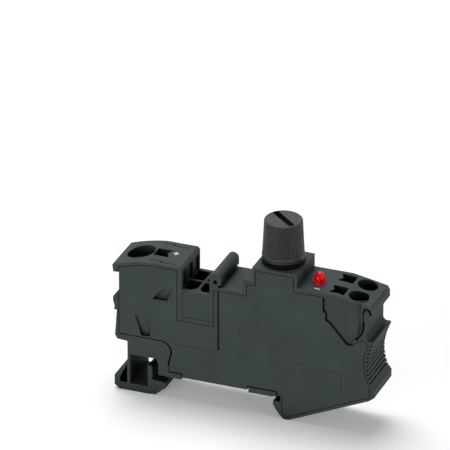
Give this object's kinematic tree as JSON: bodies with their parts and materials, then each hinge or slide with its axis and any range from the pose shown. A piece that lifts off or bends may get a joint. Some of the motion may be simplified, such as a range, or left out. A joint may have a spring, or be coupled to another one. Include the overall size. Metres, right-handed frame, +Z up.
{
  "type": "fuse terminal block",
  "caption": "Rail-mounted fuse terminal block with a large spring terminal, a bridge shaft, a screw cap over a glass fuse, a lamp and two small spring terminals.",
  "frame": {"origin": "middle of the block's width, on the rail's centreline, on the plane of the pads that rest on the rail's flanges", "axes": "+X across the rail from the large terminal to the two small ones, +Y along the rail away from the side cover, +Z up off the rail"},
  "size_m": [0.0728, 0.0132, 0.055],
  "materials": {
    "housing_plastic": "fine moulded grain",
    "cap_plastic": "satin moulded",
    "collar_plastic": "smooth",
    "lens_plastic": "clear red",
    "fuse_glass": "clear",
    "tinned_copper": "tin plated, satin",
    "nickel_brass": "nickel plated, bright",
    "spring_steel": "rolled",
    "board_laminate": "coated laminate",
    "resistor_body": "lacquered"
  },
  "bodies": {
    "block": {"housing": "housing_plastic", "side_cover": "housing_plastic", "socket_collar": "collar_plastic", "led_lens": "lens_plastic", "socket_sleeve": "nickel_brass", "base_contact": "tinned_copper", "contact_rivet": "nickel_brass", "input_bar": "tinned_copper", "output_bar": "tinned_copper", "clamp_cage_left": "spring_steel", "clamp_spring_left": "spring_steel", "clamp_cage_front": "spring_steel", "clamp_spring_front": "spring_steel", "clamp_cage_rear": "spring_steel", "clamp_spring_rear": "spring_steel", "bridge_fork_left": "tinned_copper", "bridge_fork_right": "tinned_copper", "led_board": "board_laminate", "led_leads": "tinned_copper", "led_resistor": "resistor_body"},
    "cap_carrier": {"cap_contact": "nickel_brass", "fuse_tube": "fuse_glass", "fuse_end_upper": "nickel_brass", "fuse_end_lower": "nickel_brass", "fuse_wire": "tinned_copper"},
    "cap": {"fuse_cap": "cap_plastic"}
  },
  "joints": [
    {"name": "cap_lift", "type": "slide", "parent": "block", "child": "cap_carrier", "axis": [0, 0, 1], "range_m": [0, 0.0045]},
    {"name": "cap_turn", "type": "hinge", "parent": "cap_carrier", "child": "cap", "pos_m": [0.016, 0, 0.037], "axis": [0, 0, 1], "range_deg": [0, 1080]}
  ],
  "couplings": [
    {"joint": "cap_turn", "follows": "cap_lift", "rad_per_m": 4188.8}
  ]
}
